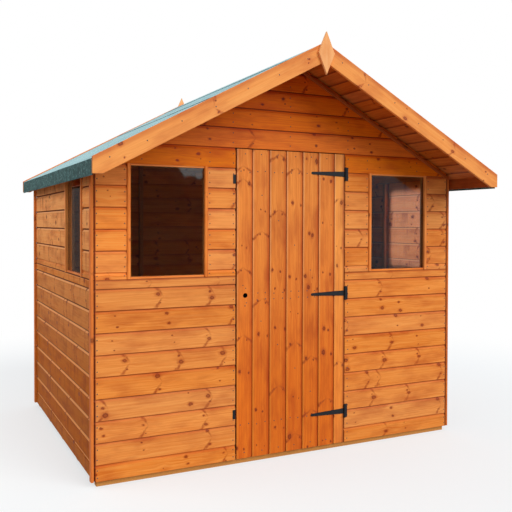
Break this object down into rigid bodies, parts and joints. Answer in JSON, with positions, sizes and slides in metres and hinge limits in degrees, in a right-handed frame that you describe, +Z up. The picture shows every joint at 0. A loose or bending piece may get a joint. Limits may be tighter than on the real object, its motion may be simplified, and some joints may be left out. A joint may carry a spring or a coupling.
{
  "type": "wooden garden shed",
  "caption": "Hollow timber garden shed with shiplap walls, felted apex roof, glazed windows and a ledged and braced door that swings on tee hinges.",
  "frame": {"origin": "on the ground under the middle of the floor, on the underside of the middle bearer", "axes": "+Z up; -Y is the way the door faces; +X is to the right as seen from in front of the door"},
  "size_m": [2.614, 2.386, 2.5071],
  "materials": {
    "stained_shiplap": "amber wood stain on planed shiplap",
    "stained_trim": "amber wood stain on planed strips",
    "stained_bargeboard": "amber wood stain on planed boards",
    "stained_door": "amber wood stain on planed matchboard",
    "framing_timber": "sawn softwood framing",
    "roof_timber": "planed softwood boards",
    "floor_timber": "planed softwood boards",
    "bearer_timber": "pressure treated sawn softwood",
    "mineral_felt": "green mineral granules on bitumen felt",
    "window_glass": "clear sheet glass",
    "black_ironwork": "black coated steel, satin"
  },
  "bodies": {
    "shed": {"collar_tie": "framing_timber", "corner_strips": "stained_trim", "eaves_battens": "roof_timber", "floor_bearers": "bearer_timber", "floor_boards": "floor_timber", "front_bargeboard_left": "stained_bargeboard", "front_bargeboard_right": "stained_bargeboard", "front_finial": "stained_bargeboard", "front_gable": "stained_shiplap", "front_left_window_beads": "stained_trim", "front_rails": "framing_timber", "front_right_window_beads": "stained_trim", "front_studs": "framing_timber", "front_wall_left": "stained_shiplap", "front_wall_right": "stained_shiplap", "gable_cover_strips": "stained_trim", "hinge_pins": "black_ironwork", "hinge_plates": "black_ironwork", "keep_plates": "black_ironwork", "left_wall": "stained_shiplap", "lock_keep": "black_ironwork", "rafters": "framing_timber", "rear_bargeboard_left": "stained_bargeboard", "rear_bargeboard_right": "stained_bargeboard", "rear_finial": "stained_bargeboard", "rear_rails": "framing_timber", "rear_studs": "framing_timber", "rear_wall": "stained_shiplap", "ridge_cap": "mineral_felt", "right_wall": "stained_shiplap", "roof_boards_left": "roof_timber", "roof_boards_right": "roof_timber", "roof_felt_left": "mineral_felt", "roof_felt_right": "mineral_felt", "side_rails": "framing_timber", "side_studs": "framing_timber", "side_window_beads": "stained_trim", "top_rails": "framing_timber", "verge_battens": "roof_timber", "window_panes": "window_glass"},
    "door": {"door_boards": "stained_door", "door_ledges": "framing_timber", "door_braces": "framing_timber", "hinge_straps": "black_ironwork", "lock_case": "black_ironwork"}
  },
  "joints": [
    {"name": "door_hinge", "type": "hinge", "parent": "shed", "child": "door", "pos_m": [0.378, -0.982, 0.988], "axis": [0, 0, 1], "range_deg": [0, 135]}
  ]
}
